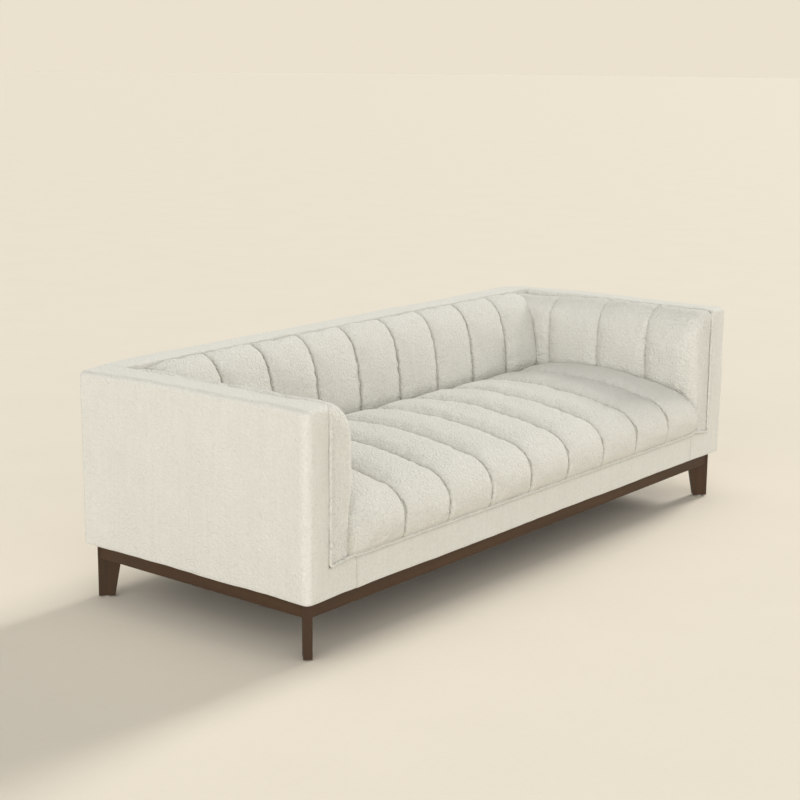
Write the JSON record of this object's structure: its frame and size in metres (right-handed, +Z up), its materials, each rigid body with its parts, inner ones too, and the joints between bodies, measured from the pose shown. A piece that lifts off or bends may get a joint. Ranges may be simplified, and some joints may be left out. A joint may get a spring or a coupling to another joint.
{
  "type": "tuxedo sofa",
  "caption": "Boxy upholstered sofa with arms as high as its back, channelled tight seat, back and inside arms, corded front edge, and a dark wooden base on diagonal blade legs.",
  "frame": {"origin": "middle of the sofa's footprint (overall length and depth, seat's front bulge included), on the floor", "axes": "+X along the length, towards the right arm as seen by someone facing the sofa; +Y towards the back; +Z up"},
  "size_m": [2.18, 0.885, 0.68],
  "materials": {
    "boucle_fabric": "matte",
    "dark_stained_wood": "satin",
    "beech_dowel": "matte",
    "frame_timber": "matte",
    "upholstery_foam": "matte",
    "zinc_plated_steel": "satin",
    "spring_steel": "satin",
    "deck_cloth": "matte",
    "jute_webbing": "matte",
    "fibreboard": "matte",
    "black_cambric": "matte",
    "nylon": "matte"
  },
  "bodies": {
    "root": {"arm_foam_left": "upholstery_foam", "arm_foam_right": "upholstery_foam", "arm_liner_rail_left": "frame_timber", "arm_liner_rail_right": "frame_timber", "arm_pad_left": "boucle_fabric", "arm_pad_right": "boucle_fabric", "arm_top_rail_left": "frame_timber", "arm_top_rail_right": "frame_timber", "arm_webbing_left": "jute_webbing", "arm_webbing_right": "jute_webbing", "back_foam": "upholstery_foam", "back_liner_rail": "frame_timber", "back_pad": "boucle_fabric", "back_post_left": "frame_timber", "back_post_right": "frame_timber", "back_top_rail": "frame_timber", "back_uprights": "frame_timber", "back_webbing": "jute_webbing", "base_bolts": "zinc_plated_steel", "base_cross_battens": "dark_stained_wood", "base_dowels": "beech_dowel", "base_rail_back": "dark_stained_wood", "base_rail_front": "dark_stained_wood", "base_rail_left": "dark_stained_wood", "base_rail_right": "dark_stained_wood", "base_threaded_inserts": "zinc_plated_steel", "base_washers": "zinc_plated_steel", "corner_block_screws": "zinc_plated_steel", "dust_cover": "black_cambric", "frame_dowels": "beech_dowel", "front_border_cover": "boucle_fabric", "front_post_left": "frame_timber", "front_post_right": "frame_timber", "front_welt": "boucle_fabric", "leg_front_left": "dark_stained_wood", "leg_front_right": "dark_stained_wood", "leg_glides": "nylon", "leg_rear_left": "dark_stained_wood", "leg_rear_right": "dark_stained_wood", "outer_arm_board_left": "fibreboard", "outer_arm_board_right": "fibreboard", "outer_arm_cover_left": "boucle_fabric", "outer_arm_cover_right": "boucle_fabric", "outer_back_board": "fibreboard", "outer_back_cover": "boucle_fabric", "seat_corner_blocks": "frame_timber", "seat_cross_rails": "frame_timber", "seat_deck_cloth": "deck_cloth", "seat_foam": "upholstery_foam", "seat_pad": "boucle_fabric", "seat_rail_back": "frame_timber", "seat_rail_front": "frame_timber", "seat_rail_left": "frame_timber", "seat_rail_right": "frame_timber", "seat_springs": "spring_steel", "spring_clips": "zinc_plated_steel", "spring_tie_wires": "spring_steel"}
  },
  "joints": []
}
